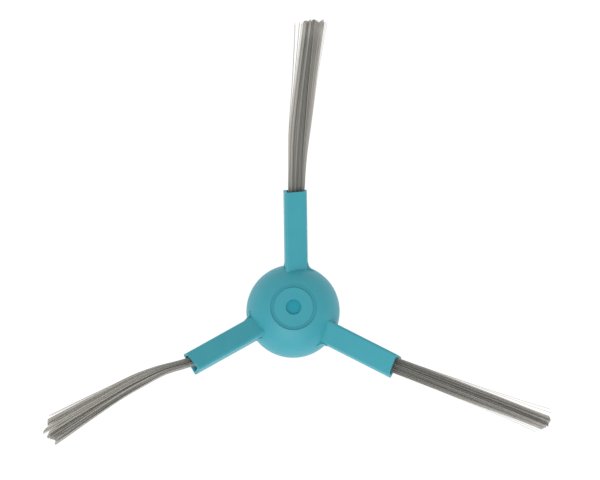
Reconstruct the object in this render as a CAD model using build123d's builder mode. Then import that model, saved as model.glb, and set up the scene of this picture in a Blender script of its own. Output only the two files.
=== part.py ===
from build123d import *
import os
from itertools import pairwise
from math import cos, radians, sin, tan

# Side brush of a robot vacuum: a soft hub moulded in one with three rising arms, and a tuft of nylon
# bristles in the pocket at the end of each arm. Millimetres. The hub stands on its rim with its crown
# up, and the drive axis is Z.

# Hub: a dome on a short straight rim, hollow underneath
hub_diameter = 28.7
hub_height = 11.5
rim_height = 1.2
rim_chamfer = 0.4
hub_wall = 1.8

# Crown: a flat disc inside a ring groove, with a round gate recess at its centre
crown_diameter = 14.2
groove_width = 1.1
groove_depth = 0.5
recess_diameter = 4.7
recess_depth = 0.6

# Drive boss: a round bore that leads to a six-sided socket
boss_diameter = 12.0
bore_diameter = 6.2
bore_length = 4.0
socket_across_flats = 5.0
socket_depth = 2.6

# Ribs that run right across the hollow, in line with the arms
rib_lines = 3
rib_thickness = 1.2
rib_setback = 2.0

# Arms: a wedge section, higher on the counter-clockwise side, that passes the axis to one side
arm_headings = (90.0, 210.0, 330.0)
arm_reach = 37.0
arm_height = 2.5
arm_rise = 16.0
arm_offset = 1.2
arm_width = 6.5
arm_thickness = 4.2
arm_slope = 21.0
arm_draft = 6.0
arm_edge_radius = 0.7
mouth_lean = 4.0

# Flares that widen the foot of an arm where it runs into the hub
flare_reach = 14.6
flare_root_reach = 12.4
flare_width = 1.6
flare_height = 2.2

# Pocket in the end of an arm, for the root of a tuft
pocket_wall = 0.75
pocket_depth = 12.0
tuft_clearance = 0.1

# Tufts: a melted root, and strands that spread and turn along three stretches beyond the mouth, set by use
tuft_names = ("bristle_tuft_top", "bristle_tuft_left", "bristle_tuft_right")
tuft_turn_angles = ((-4.5, -1.5, -4.0), (-20.0, 19.0, 4.0), (6.5, 0.5, -0.5))
tuft_spread_ratios = (1.4, 1.5, 1.1)
tuft_stretch_shares = (0.1, 0.2, 0.7)
tuft_length = 52.0
tuft_root_length = 9.0
strand_diameter = 0.4
strand_sides = 4
strand_runs = 4
strand_columns = 9
strand_rows = 3
strand_margin = 0.1
strand_embed = 1.5
strand_trim = 2.5
strand_scatter = 0.12

golden_angle = 137.5

# Where an arm is drawn from, inside the hub, half its width at the foot, and how far past its leaning mouth
# it is drawn before it is cut
arm_root_reach = boss_diameter / 2
arm_half_foot = arm_width / 2 + arm_thickness * tan(radians(arm_draft))
mouth_overrun = arm_thickness * tan(radians(mouth_lean))


def along_arm(heading):
    """Plane of an arm: origin on the drive axis, x outward along the arm, y counter-clockwise."""
    outward = Vector(1, 0, 0).rotate(Axis.Y, -arm_rise)
    upward = Vector(0, 0, 1).rotate(Axis.Y, -arm_rise)
    return Plane(
        origin=Vector(0, -arm_offset, arm_height).rotate(Axis.Z, heading),
        x_dir=outward.rotate(Axis.Z, heading),
        z_dir=upward.rotate(Axis.Z, heading),
    )


def across_arm(heading, reach, lean=0.0):
    """Plane across an arm at a reach from the drive axis: x counter-clockwise, z outward and leaning up."""
    arm = along_arm(heading)
    return Plane(
        origin=arm.origin + arm.x_dir * reach,
        x_dir=arm.y_dir,
        z_dir=arm.x_dir.rotate(Axis((0, 0, 0), arm.y_dir), -lean),
    )


def crest(across, inset):
    """Height of the sloping upper side of an arm's section, from the middle of the arm."""
    return arm_thickness / 2 - inset + across * tan(radians(arm_slope))


def arm_outline(inset):
    """Draw the section of an arm, or of what lies inside it by an inset: a wedge with a wider foot."""
    foot = inset - arm_thickness / 2
    half_crest = arm_width / 2 - inset
    half_foot = half_crest + (arm_thickness - 2 * inset) * tan(radians(arm_draft))
    with BuildLine() as wedge:
        Polyline(
            (half_crest, crest(half_crest, inset)),
            (-half_crest, crest(-half_crest, inset)),
            (-half_foot, foot),
            (half_foot, foot),
            close=True,
        )
    make_face(wedge.edges())


# Core of the mould that leaves the hollow under the dome, with the ribs standing in it
with BuildPart() as core:
    with BuildSketch(Plane.XZ):
        with BuildLine():
            inner_radius = hub_diameter / 2 - hub_wall
            Polyline(
                (boss_diameter / 2, hub_height - groove_depth - hub_wall),
                (boss_diameter / 2, 0),
                (inner_radius, 0),
                (inner_radius, rim_height),
                close=True,
            )
        make_face()
    revolve(axis=Axis.Z)
    with BuildSketch(Plane.XY.offset(rib_setback)):
        with PolarLocations(0, rib_lines, start_angle=arm_headings[0], angular_range=180):
            Rectangle(hub_diameter, rib_thickness)
    extrude(amount=hub_height, mode=Mode.SUBTRACT)

# Hub and arms, one moulding
with BuildPart() as brush_hub:
    with BuildSketch(Plane.XZ):
        with BuildLine():
            hub_radius = hub_diameter / 2
            crown_edge = (crown_diameter / 2, hub_height)
            Polyline(crown_edge, (0, hub_height), (0, 0), (hub_radius, 0), (hub_radius, rim_height))
            TangentArc((hub_radius, rim_height), crown_edge, tangent=(0, 1))
        make_face()
    revolve(axis=Axis.Z)

    # Arms, each drawn out of the dome and cut off at its leaning mouth
    for heading in arm_headings:
        with BuildSketch(across_arm(heading, arm_root_reach)) as arm_section:
            arm_outline(0)
            fillet(arm_section.vertices(), arm_edge_radius)
        extrude(amount=arm_reach + mouth_overrun - arm_root_reach)
        split(bisect_by=across_arm(heading, arm_reach, mouth_lean), keep=Keep.BOTTOM)
        with BuildSketch(along_arm(heading).offset(-arm_thickness / 2)):
            with BuildLine():
                flare_tip = (flare_reach, arm_half_foot)
                flare_root = (flare_root_reach, arm_half_foot + flare_width)
                TangentArc(flare_tip, flare_root, tangent=(-1, 0))
                Polyline(
                    flare_root,
                    (arm_root_reach, arm_half_foot + flare_width),
                    (arm_root_reach, 0),
                    (flare_reach, 0),
                    flare_tip,
                )
            make_face()
            mirror(about=Plane.XZ)
        extrude(amount=flare_height)

    # Hollow under the dome
    add(core.part, mode=Mode.SUBTRACT)
    rim_edges = brush_hub.edges().filter_by(GeomType.CIRCLE).group_by(Axis.Z)[0]
    chamfer(rim_edges.sort_by(Edge.length)[-1], rim_chamfer)

    # Pockets for the tufts
    for heading in arm_headings:
        with BuildSketch(across_arm(heading, arm_reach - pocket_depth)):
            arm_outline(pocket_wall)
        extrude(amount=pocket_depth + mouth_overrun, mode=Mode.SUBTRACT)

    # Ring groove and gate recess in the crown
    with BuildSketch(Plane.XY.offset(hub_height)):
        Circle(crown_diameter / 2)
        Circle(crown_diameter / 2 - groove_width, mode=Mode.SUBTRACT)
    extrude(amount=-groove_depth, mode=Mode.SUBTRACT)
    with BuildSketch(Plane.XY.offset(hub_height)):
        Circle(recess_diameter / 2)
    extrude(amount=-recess_depth, mode=Mode.SUBTRACT)

    # Drive bore and the socket beyond it
    with BuildSketch(Plane.XY):
        Circle(bore_diameter / 2)
    extrude(amount=bore_length, mode=Mode.SUBTRACT)
    with BuildSketch(Plane.XY.offset(bore_length)):
        RegularPolygon(socket_across_flats / 2, 6, major_radius=False, rotation=arm_headings[0])
    extrude(amount=socket_depth, mode=Mode.SUBTRACT)

# Tufts, each with its own set
tufts = []
for name, heading, turns, tip_spread in zip(tuft_names, arm_headings, tuft_turn_angles, tuft_spread_ratios):
    arm = along_arm(heading)
    root_reach = arm_reach - pocket_depth
    root_inset = pocket_wall + tuft_clearance
    strand_start = root_reach + tuft_root_length - strand_embed

    # Line that the middle of the tuft follows, straight out of the pocket and then along its turns
    with BuildLine(arm) as spine:
        stretch = Line((strand_start, 0), (arm_reach, 0))
        for share, turn in zip(tuft_stretch_shares, turns):
            stretch = JernArc(stretch @ 1, stretch % 1, share * tuft_length / radians(abs(turn)), turn)
    path = spine.wire()
    mouth_at = arm_reach - strand_start

    with BuildPart() as tuft:
        with BuildSketch(across_arm(heading, root_reach)):
            arm_outline(root_inset)
        extrude(amount=tuft_root_length)

        # Strands in columns and rows over the root, each in straight runs and trimmed a little differently
        strand_inset = root_inset + strand_margin + strand_diameter / 2
        foot = strand_inset - arm_thickness / 2
        runs = []
        for number in range(strand_columns * strand_rows):
            column, row = divmod(number, strand_rows)
            across = (arm_width / 2 - strand_inset) * (2 * column / (strand_columns - 1) - 1)
            up = foot + (crest(across, strand_inset) - foot) * row / (strand_rows - 1)
            around = golden_angle * number % 360
            strand_length = tuft_length - strand_trim * around / 360
            points = [arm.from_local_coords(Vector(strand_start, across, up))]
            for step in range(strand_runs + 1):
                free = strand_length * step / strand_runs
                stray = strand_scatter * free / tuft_length
                spread = 1 + (tip_spread - 1) * free / tuft_length
                middle = path.position_at(mouth_at + free, PositionMode.LENGTH)
                side = arm.z_dir.cross(path.tangent_at(mouth_at + free, PositionMode.LENGTH))
                sideways = side * (across * spread + stray * cos(radians(around)))
                upward = arm.z_dir * (up * spread + stray * sin(radians(around)))
                points.append(middle + sideways + upward)
            for start, end in pairwise(points):
                run_plane = Plane(start, x_dir=arm.y_dir, z_dir=arm.x_dir)
                with BuildSketch(run_plane, mode=Mode.PRIVATE) as section:
                    RegularPolygon(strand_diameter / 2, strand_sides)
                run = end - start
                runs.append(extrude(section.sketch, amount=run.length, dir=run, mode=Mode.PRIVATE))
        add(runs, clean=False)
    tuft.part.label = name
    tufts.append(tuft.part)

os.makedirs("parts", exist_ok=True)
brush_hub.part.label = "brush_hub"
export_step(brush_hub.part, "parts/brush_hub.step")
for tuft_part in tufts:
    export_step(tuft_part, f"parts/{tuft_part.label}.step")
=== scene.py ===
import random
from collections import namedtuple
from math import cos, pi, radians, sin, tan

import bpy
from mathutils import Matrix, Vector, noise


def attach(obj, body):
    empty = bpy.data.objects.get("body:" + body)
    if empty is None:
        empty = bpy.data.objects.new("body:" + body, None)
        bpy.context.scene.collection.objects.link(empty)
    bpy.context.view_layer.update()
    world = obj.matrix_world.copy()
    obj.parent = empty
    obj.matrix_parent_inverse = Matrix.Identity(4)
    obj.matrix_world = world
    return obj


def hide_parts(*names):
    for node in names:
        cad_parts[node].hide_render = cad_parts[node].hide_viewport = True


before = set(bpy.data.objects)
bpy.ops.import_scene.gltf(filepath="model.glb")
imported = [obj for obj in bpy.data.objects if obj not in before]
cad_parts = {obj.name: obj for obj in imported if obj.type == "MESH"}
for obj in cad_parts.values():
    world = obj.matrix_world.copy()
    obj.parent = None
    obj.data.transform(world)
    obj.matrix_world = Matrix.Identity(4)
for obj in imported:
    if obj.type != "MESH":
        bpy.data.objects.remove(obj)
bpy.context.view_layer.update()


# Hub and arms
# One soft elastomer moulding, dyed through in teal: a domed hub with three hollow arms. It leaves the
# mould with a fine satin skin, uneven by a shade where it flowed. The gate recess gets painted shade: a
# darker, more saturated teal in place of the shade and the teal-tinted light inside it.

skin_deep = (0.040, 0.352, 0.430, 1)
skin_pale = (0.048, 0.372, 0.448, 1)
skin_roughness = (0.40, 0.58)
sheen_weight = 0.07
sheen_roughness = 0.4
flow_size = 0.006
flow_detail = 3.0
flow_limits = (0.3, 0.7)
grain_size = 0.00025
grain_detail = 2.0
grain_depth = 0.00002
# Painted shade for the gate recess: a darker, more saturated teal than the skin.
recess_painted_shade = (0.001, 0.318, 0.405, 1)
gate_radius = 0.0024
gate_floor = 0.0109
gate_edge = 0.05


def add_node(material, kind, settings=None, **inputs):
    """Add a shader node, set its options, and set or link its inputs by name."""
    made = material.node_tree.nodes.new("ShaderNode" + kind)
    for option, value in (settings or {}).items():
        setattr(made, option, value)
    for name, value in inputs.items():
        socket = made.inputs[name.replace("_", " ")]
        if isinstance(value, bpy.types.NodeSocket):
            material.node_tree.links.new(value, socket)
        else:
            socket.default_value = value
    return made


def colour_steps(material, mask, *steps):
    """Turn a mask into colours, through (place, colour) steps."""
    ramp = add_node(material, "ValToRGB", Fac=mask)
    elements = ramp.color_ramp.elements
    while len(elements) < len(steps):
        elements.new(1.0)
    for element, (place, colour) in zip(elements, steps):
        element.position = place
        element.color = colour
    return ramp.outputs["Color"]


def new_material(name):
    """Make a material and give back its Principled shader with it."""
    material = bpy.data.materials.new(name)
    material.use_nodes = True
    return material, material.node_tree.nodes["Principled BSDF"]


hub_skin, hub_shader = new_material("hub_skin")
spot = add_node(hub_skin, "TexCoord").outputs["Object"]

flow = add_node(hub_skin, "TexNoise", Vector=spot, Scale=1 / flow_size, Detail=flow_detail)
flow_steps = zip(flow_limits, (skin_deep, skin_pale))
flow_colour = colour_steps(hub_skin, flow.outputs["Fac"], *flow_steps)

around_gate = add_node(
    hub_skin,
    "Mapping",
    {"vector_type": "TEXTURE"},
    Vector=spot,
    Location=(0, 0, gate_floor),
    Scale=(gate_radius, gate_radius, gate_radius),
)
near_gate = add_node(
    hub_skin, "TexGradient", {"gradient_type": "SPHERICAL"}, Vector=around_gate.outputs["Vector"]
)
# Painted shade: within the recess the skin colour gives way to the darker teal.
recess_shade_mask = add_node(hub_skin, "MapRange", Value=near_gate.outputs["Fac"], From_Max=gate_edge)
skin_with_recess_shade = add_node(
    hub_skin, "MixRGB", Fac=recess_shade_mask.outputs["Result"], Color1=flow_colour, Color2=recess_painted_shade
)

grain = add_node(hub_skin, "TexNoise", Vector=spot, Scale=1 / grain_size, Detail=grain_detail)
grain_gloss = add_node(
    hub_skin, "MapRange", Value=grain.outputs["Fac"], To_Min=skin_roughness[0], To_Max=skin_roughness[1]
)
grain_bump = add_node(hub_skin, "Bump", Height=grain.outputs["Fac"], Distance=grain_depth)

hub_tree = hub_skin.node_tree
hub_tree.links.new(skin_with_recess_shade.outputs["Color"], hub_shader.inputs["Base Color"])
hub_tree.links.new(grain_gloss.outputs["Result"], hub_shader.inputs["Roughness"])
hub_tree.links.new(grain_bump.outputs["Normal"], hub_shader.inputs["Normal"])
hub_shader.inputs["Sheen Weight"].default_value = sheen_weight
hub_shader.inputs["Sheen Roughness"].default_value = sheen_roughness

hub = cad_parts["brush_hub"]
hub.data.materials.clear()
hub.data.materials.append(hub_skin)


# Bristle tufts
# Some three hundred drawn nylon filaments to a tuft, each about a sixth of a millimetre thick, glued into
# the pocket of an arm and cut across at the tip. Use has bent each tuft its own way, parted it into clumps
# and left a few strays. Sizes along and across a tuft are in millimetres from the middle of its mouth. The
# grey of each filament holds painted light besides its own tone: painted shade near the mouth and in the
# partings between clumps, and a painted paling at the edges and tips, where light shows through.

mm = 0.001

# The arm as the hub has it, and the room that its pocket leaves for the filaments
arm_rise = radians(16)
arm_slope = radians(21)
arm_offset = 1.2
arm_height = 2.5
arm_reach = 37.0
pocket_depth = 11.9
pocket_free = 3.0
pocket_half_width = 2.4
pocket_half_height = 1.25
roof_gap = 0.6

# The filaments, and how far each departs from its neighbours
filament_count = 320
filament_radius = 0.085
filament_sides = 4
filament_steps = 18
cut_scatter = 0.25
pinch_length = 9.0
pinch_shortening = 1.5
tip_thickening = 0.25
wander = 0.30
wander_bends = 3.0
streak_count = 4.0
streak_falloff = 0.7
streak_step = 2.0
streak_octaves = 3
streak_tint = 0.05
filament_tint = 0.06
stray_level = 1.05

# Noise is nought at whole numbers, so places in it start between them
noise_start = 0.5

# A clump's root and tip are its ranges across the tuft, from -1 on the clockwise side to 1. Its tints, at the
# mouth, half way and at the tip, are added to the tuft's tone line, in which 0 is dark and 1 is pale. They
# are partly the clump's own tone and partly painted light: dark tints are painted shade in the partings, and
# pale tints at the edges are painted light through the sparse outer filaments. A pinch draws its end together
# and a slant skews its cut. A stray leaves its place across the tuft and leans out by so much at its tip. A
# filament has a spot in its clump and a level in its pocket, each from 0 to 1, and a stray's level is just
# above that.
tuft_breadth = 2.0
clump_middle = 0.5
tint_marks = (0.0, 0.5, 1.0)
Clump = namedtuple("Clump", "root tip reach tints pinch slant", defaults=(0.0, 0.0))
Stray = namedtuple("Stray", "place lean reach tint")
Filament = namedtuple("Filament", "clump spot level lean")


def smooth_between(marks, at):
    """Read a value off a few (distance, value) marks, on a smooth line through them."""
    part = 0
    while part < len(marks) - 2 and at > marks[part + 1][0]:
        part += 1
    (start, low), (stop, high) = marks[part : part + 2]
    before = marks[max(part - 1, 0)]
    after = marks[min(part + 2, len(marks) - 1)]
    leave = (high - before[1]) / (stop - before[0]) * (stop - start)
    arrive = (after[1] - low) / (after[0] - start) * (stop - start)
    share = min(1, max(0, (at - start) / (stop - start)))
    rest = 1 - share
    near = low * (1 + 2 * share) + leave * share
    far = high * (1 + 2 * rest) - arrive * rest
    return near * rest**2 + far * share**2


def within(span, share):
    """Give the value at a share of the way along a (low, high) span."""
    return span[0] + (span[1] - span[0]) * share


def pocket_level(across, level):
    """Height in the wedge of a pocket, from its floor at level 0 to just under its roof at level 1."""
    roof = pocket_half_height - roof_gap + across * tan(arm_slope)
    return within((-pocket_half_height, roof), level)


def filament_tube(points, radius, sides):
    """Corners and faces of a thin tube along points, closed at both ends."""
    corners = []
    for number, point in enumerate(points):
        ahead = points[min(number + 1, len(points) - 1)] - points[max(number - 1, 0)]
        across = ahead.cross(Vector((0, 0, 1))).normalized()
        upward = across.cross(ahead).normalized()
        for side in range(sides):
            turn = 2 * pi * (side + 0.5) / sides
            corners.append(point + (across * cos(turn) + upward * sin(turn)) * radius)
    faces = []
    for low in range(0, len(corners) - sides, sides):
        for side in range(sides):
            after = (side + 1) % sides
            faces.append((low + side, low + after, low + sides + after, low + sides + side))
    faces.append(tuple(reversed(range(sides))))
    faces.append(tuple(range(len(corners) - sides, len(corners))))
    return corners, faces


def tuft_filaments(clumps, strays, chance):
    """List a tuft's filaments: those of each clump, spread by chance over its breadth, and the strays."""
    filaments = []
    for clump in clumps:
        breadth = (clump.root[1] - clump.root[0] + clump.tip[1] - clump.tip[0]) / 2
        count = round(filament_count * breadth / tuft_breadth)
        for number in range(count):
            filaments.append(Filament(clump, (number + chance.random()) / count, chance.random(), 0.0))
    for stray in strays:
        span = (stray.place, stray.place)
        lone = Clump(span, span, stray.reach, (0.0, stray.tint, stray.tint))
        filaments.append(Filament(lone, clump_middle, stray_level, stray.lean))
    return filaments


def tuft_mesh(name, heading, middle, half_width, tones_with_painted_light, clumps, strays, seed):
    """Build one tuft from its middle line, half width, tone line with painted light, clumps and strays."""
    chance = random.Random(seed)
    noise.seed_set(seed)
    turn = Matrix.Rotation(radians(heading), 3, "Z")
    outward, across, up = (turn @ Matrix.Rotation(-arm_rise, 3, "Y")).col
    mouth = turn @ Vector((0, -arm_offset, arm_height)) + outward * arm_reach

    corners, faces, shades = [], [], []
    for clump, spot, level, lean in tuft_filaments(clumps, strays, chance):
        root_place = within(clump.root, spot)
        from_middle = 2 * spot - 1
        end = clump.reach + clump.slant * from_middle / 2 - abs(chance.gauss(0, cut_scatter))
        end -= abs(from_middle) * clump.pinch * pinch_shortening
        streak_spot = Vector((root_place * streak_count, seed + noise_start, noise_start))
        streak = noise.fractal(streak_spot, streak_falloff, streak_step, streak_octaves)
        own_tint = streak_tint * streak + chance.gauss(0, filament_tint)
        clump_tints = tuple(zip(tint_marks, clump.tints))
        stations = [-pocket_depth, -pocket_free]
        stations += [end * step / filament_steps for step in range(filament_steps + 1)]
        points = []
        for at in stations:
            free = max(0.0, at)
            share = free / end
            pinched = max(0.0, 1 - (end - free) / pinch_length) ** 2 * clump.pinch
            place = within((root_place, within(clump.tip, within((spot, clump_middle), pinched))), share)
            sideways = smooth_between(middle, free) + place * smooth_between(half_width, free)
            sideways += lean * share**2
            if at < 0:
                sideways = root_place * pocket_half_width
            bend = Vector((root_place * wander_bends, level * wander_bends, seed + noise_start + share))
            drift = noise.noise_vector(bend) * wander * share
            height = pocket_level(root_place * pocket_half_width, level) * (1 + tip_thickening * share)
            aside = across * (sideways + drift.x) + up * (height + drift.y)
            points.append((mouth + outward * at + aside) * mm)
            # Painted light: the tone line and clump tints darken filaments near the mouth and in partings as
            # painted shade, and pale them at edges and tips.
            shade = smooth_between(tones_with_painted_light, free) + smooth_between(clump_tints, share) + own_tint
            shades += [min(1.0, max(0.0, shade))] * filament_sides
        tube_corners, tube_faces = filament_tube(points, filament_radius * mm, filament_sides)
        faces += [tuple(index + len(corners) for index in face) for face in tube_faces]
        corners += tube_corners

    mesh = bpy.data.meshes.new(name)
    mesh.from_pydata(corners, [], faces)
    mesh.shade_smooth()
    mesh.attributes.new("filament_tone_and_painted_light", "FLOAT", "POINT").data.foreach_set("value", shades)
    tuft = bpy.data.objects.new(name, mesh)
    bpy.context.scene.collection.objects.link(tuft)
    return tuft


nylon_dark = (0.080, 0.071, 0.062, 1)
nylon_grey = (0.270, 0.270, 0.245, 1)
nylon_pale = (0.650, 0.615, 0.560, 1)
nylon_roughness = 0.40

nylon, nylon_shader = new_material("bristle_nylon")
# The filaments' grey is read from their tone attribute, which carries painted shade and light as well as
# their own tone.
tone = add_node(nylon, "Attribute", {"attribute_name": "filament_tone_and_painted_light"})
grey = colour_steps(
    nylon, tone.outputs["Fac"], (0.0, nylon_dark), (0.5, nylon_grey), (1.0, nylon_pale)
)
nylon.node_tree.links.new(grey, nylon_shader.inputs["Base Color"])
nylon_shader.inputs["Roughness"].default_value = nylon_roughness

# Each tone line runs low at the mouth as painted shade from the pocket, and rises towards the tip, partly as
# painted light through the spreading ends.
tufts = {
    "bristle_tuft_top": dict(
        heading=90,
        middle=((0, -0.30), (8, -0.72), (16, -1.40), (25, -2.50), (35, -3.85), (52, -6.40)),
        half_width=((0, 2.50), (8, 2.70), (20, 3.20), (35, 3.15), (52, 3.30)),
        tones_with_painted_light=((0, 0.38), (1, 0.49), (12, 0.62), (25, 0.66), (38, 0.65), (46, 0.67), (52, 0.95)),
        clumps=(
            Clump((-1.00, -0.90), (-1.00, -0.88), 51.5, (0.08, 0.24, 0.15)),
            Clump((-0.90, -0.76), (-0.88, -0.52), 52.1, (0.05, 0.06, 0.10), slant=-0.6),
            Clump((-0.76, -0.70), (-0.52, -0.10), 52.0, (0.02, 0.08, 0.12), slant=0.9),
            Clump((-0.70, -0.56), (-0.10, 0.03), 52.4, (-0.26, -0.54, -0.44)),
            Clump((-0.56, -0.24), (0.03, 0.04), 52.3, (0.06, -0.10, -0.25)),
            Clump((-0.24, -0.07), (0.04, 0.14), 52.2, (-0.30, -0.30, -0.28)),
            Clump((-0.07, 0.07), (0.14, 0.28), 52.0, (-0.04, -0.06, -0.13)),
            Clump((0.07, 0.28), (0.28, 0.50), 52.3, (-0.04, -0.09, 0.02), slant=-0.4),
            Clump((0.28, 0.38), (0.50, 0.64), 51.9, (0.06, 0.07, -0.20)),
            Clump((0.38, 0.62), (0.64, 0.77), 52.2, (0.03, 0.00, 0.05)),
            Clump((0.62, 0.82), (0.77, 0.88), 52.1, (0.18, 0.18, 0.13)),
            Clump((0.82, 0.94), (0.88, 0.95), 51.7, (0.30, 0.48, 0.40)),
        ),
        strays=(
            Stray(0.99, 2.4, 51.8, 0.10),
            Stray(0.96, 2.3, 51.2, 0.10),
            Stray(0.98, 1.1, 52.0, 0.05),
            Stray(0.95, 1.1, 51.6, 0.05),
            Stray(1.00, 0.1, 51.8, 0.35),
            Stray(0.98, 0.4, 51.6, 0.30),
            Stray(-0.98, -0.4, 51.8, 0.20),
            Stray(-0.97, -0.9, 51.6, 0.20),
        ),
        seed=3,
    ),
    "bristle_tuft_left": dict(
        heading=210,
        middle=(
            (0, -0.55), (3, -1.15), (8, -2.32), (12, -2.82),
            (20, -3.22), (30, -3.08), (40, -2.75), (51, -2.22),
        ),
        half_width=(
            (0, 1.40), (5, 1.45), (8, 1.55), (16, 2.20),
            (25, 2.50), (35, 3.10), (44, 3.65), (51, 4.10),
        ),
        tones_with_painted_light=((0, 0.38), (1, 0.48), (7, 0.53), (14, 0.68), (25, 0.69), (40, 0.73), (51, 0.74)),
        clumps=(
            Clump((-1.00, -0.86), (-1.00, -0.88), 48.1, (0.26, 0.30, 0.18), slant=0.3),
            Clump((-0.86, -0.55), (-0.88, -0.59), 48.5, (0.18, 0.10, 0.15), slant=0.5),
            Clump((-0.55, -0.24), (-0.57, -0.21), 51.0, (0.03, 0.11, 0.20), pinch=0.3, slant=2.0),
            Clump((-0.24, 0.10), (-0.18, 0.10), 50.2, (0.00, 0.11, 0.17), pinch=0.1, slant=1.8),
            Clump((0.10, 0.36), (0.10, 0.28), 50.8, (-0.20, -0.12, -0.08), pinch=0.2, slant=-0.6),
            Clump((0.36, 0.63), (0.28, 0.54), 50.2, (0.10, 0.00, -0.12), pinch=0.1, slant=-0.6),
            Clump((0.63, 0.82), (0.54, 0.70), 49.4, (0.20, -0.25, 0.06)),
            Clump((0.82, 1.00), (0.70, 0.94), 49.8, (0.26, 0.08, 0.14), pinch=0.2, slant=0.2),
        ),
        strays=(
            Stray(-0.99, -0.5, 46.5, 0.10),
            Stray(-0.99, -0.9, 47.4, 0.05),
            Stray(-0.96, -0.9, 47.0, 0.05),
            Stray(0.30, 0.55, 47.0, 0.45),
            Stray(0.36, 0.40, 46.0, 0.45),
        ),
        seed=8,
    ),
    "bristle_tuft_right": dict(
        heading=330,
        middle=((0, 0.33), (12, 1.58), (25, 2.92), (40, 4.50), (51, 5.52)),
        half_width=((0, 2.20), (16, 2.28), (32, 2.22), (42, 2.12), (51, 2.20)),
        tones_with_painted_light=((0, 0.32), (1, 0.45), (12, 0.51), (25, 0.58), (35, 0.64), (44, 0.69), (51, 0.85)),
        clumps=(
            Clump((-1.00, -0.90), (-1.00, -0.94), 49.5, (0.18, 0.16, 0.10), slant=0.2),
            Clump((-0.90, -0.50), (-0.94, -0.84), 49.8, (0.05, 0.08, 0.00), slant=0.3),
            Clump((-0.50, -0.34), (-0.84, -0.76), 50.0, (-0.30, -0.42, 0.00)),
            Clump((-0.34, -0.04), (-0.76, -0.46), 50.3, (0.06, 0.16, 0.14), slant=0.4),
            Clump((-0.04, 0.04), (-0.46, -0.14), 50.7, (0.00, 0.06, 0.00), slant=0.2),
            Clump((0.04, 0.18), (-0.14, 0.00), 51.0, (0.00, -0.22, -0.50)),
            Clump((0.18, 0.46), (0.00, 0.44), 51.0, (0.00, 0.00, 0.06), slant=-0.2),
            Clump((0.46, 0.60), (0.44, 0.58), 50.9, (-0.30, -0.38, -0.34), slant=-0.2),
            Clump((0.60, 0.82), (0.58, 0.80), 50.8, (0.04, 0.12, 0.05), slant=-0.3),
            Clump((0.82, 1.00), (0.80, 1.00), 50.4, (0.18, 0.25, 0.20), slant=-0.4),
        ),
        strays=(
            Stray(0.99, 1.0, 50.8, 0.35),
            Stray(0.99, 2.0, 50.4, 0.35),
            Stray(-0.99, -0.9, 49.6, 0.25),
            Stray(-0.99, -1.6, 48.6, 0.25),
        ),
        seed=12,
    ),
}

for node, form in tufts.items():
    tuft = tuft_mesh(node.replace("bristle_", ""), **form)
    tuft.data.materials.append(nylon)
    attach(tuft, "root")
    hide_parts(node)


# Floor
# A white shooting table that the brush lies on, lit so evenly that it shows no edge and no shadow.

floor_half = 3.0
floor_level = -0.0001
floor_grey = (0.08, 0.08, 0.08, 1)
floor_roughness = 0.9
floor_glow = 0.97

floor_ways = ((-1, -1), (1, -1), (1, 1), (-1, 1))
floor_corners = [(x * floor_half, y * floor_half, floor_level) for x, y in floor_ways]
floor_mesh = bpy.data.meshes.new("floor")
floor_mesh.from_pydata(floor_corners, [], [(0, 1, 2, 3)])
floor = bpy.data.objects.new("floor", floor_mesh)
bpy.context.scene.collection.objects.link(floor)
table_white, table_shader = new_material("table_white")
table_shader.inputs["Base Color"].default_value = floor_grey
table_shader.inputs["Roughness"].default_value = floor_roughness
table_shader.inputs["Emission Color"].default_value = (1, 1, 1, 1)
table_shader.inputs["Emission Strength"].default_value = floor_glow
floor_mesh.materials.append(table_white)


# Light
# A pale room and one large soft lamp, up in front and a little to the left.

room_strength = 0.65
lamp_width = 1.2
lamp_power = 9.2
lamp_place = Vector((-0.25, -0.97, 1.05))

room = bpy.data.worlds.new("room")
room.use_nodes = True
sky = room.node_tree.nodes["Background"]
sky.inputs["Color"].default_value = (1, 1, 1, 1)
sky.inputs["Strength"].default_value = room_strength
bpy.context.scene.world = room

lamp_data = bpy.data.lights.new("soft_lamp", "AREA")
lamp_data.shape = "DISK"
lamp_data.size = lamp_width
lamp_data.energy = lamp_power
soft_lamp = bpy.data.objects.new("soft_lamp", lamp_data)
soft_lamp.location = lamp_place
soft_lamp.rotation_euler = (-lamp_place).to_track_quat("-Z", "Y").to_euler()
bpy.context.scene.collection.objects.link(soft_lamp)


# Camera
# It looks almost straight down on the crown, from a little on the near side, through a long lens.

camera_target = Vector((0.00250, 0.02152, 0.00500))
camera_distance = 1.18702
camera_lean = (radians(-1.123), radians(8.096))
camera_roll = radians(-1.147)
camera_lens = 231.84

camera_data = bpy.data.cameras.new("camera")
camera_data.lens = camera_lens
camera = bpy.data.objects.new("camera", camera_data)
away = Vector((tan(camera_lean[0]), -tan(camera_lean[1]), 1)).normalized()
top = (Vector((0, 1, 0)) - away * away.y).normalized()
turned = Matrix((top.cross(away), top, away)).transposed() @ Matrix.Rotation(camera_roll, 3, "Z")
camera.matrix_world = Matrix.Translation(camera_target + away * camera_distance) @ turned.to_4x4()
bpy.context.scene.collection.objects.link(camera)
bpy.context.scene.camera = camera
bpy.context.scene.view_settings.view_transform = "Standard"
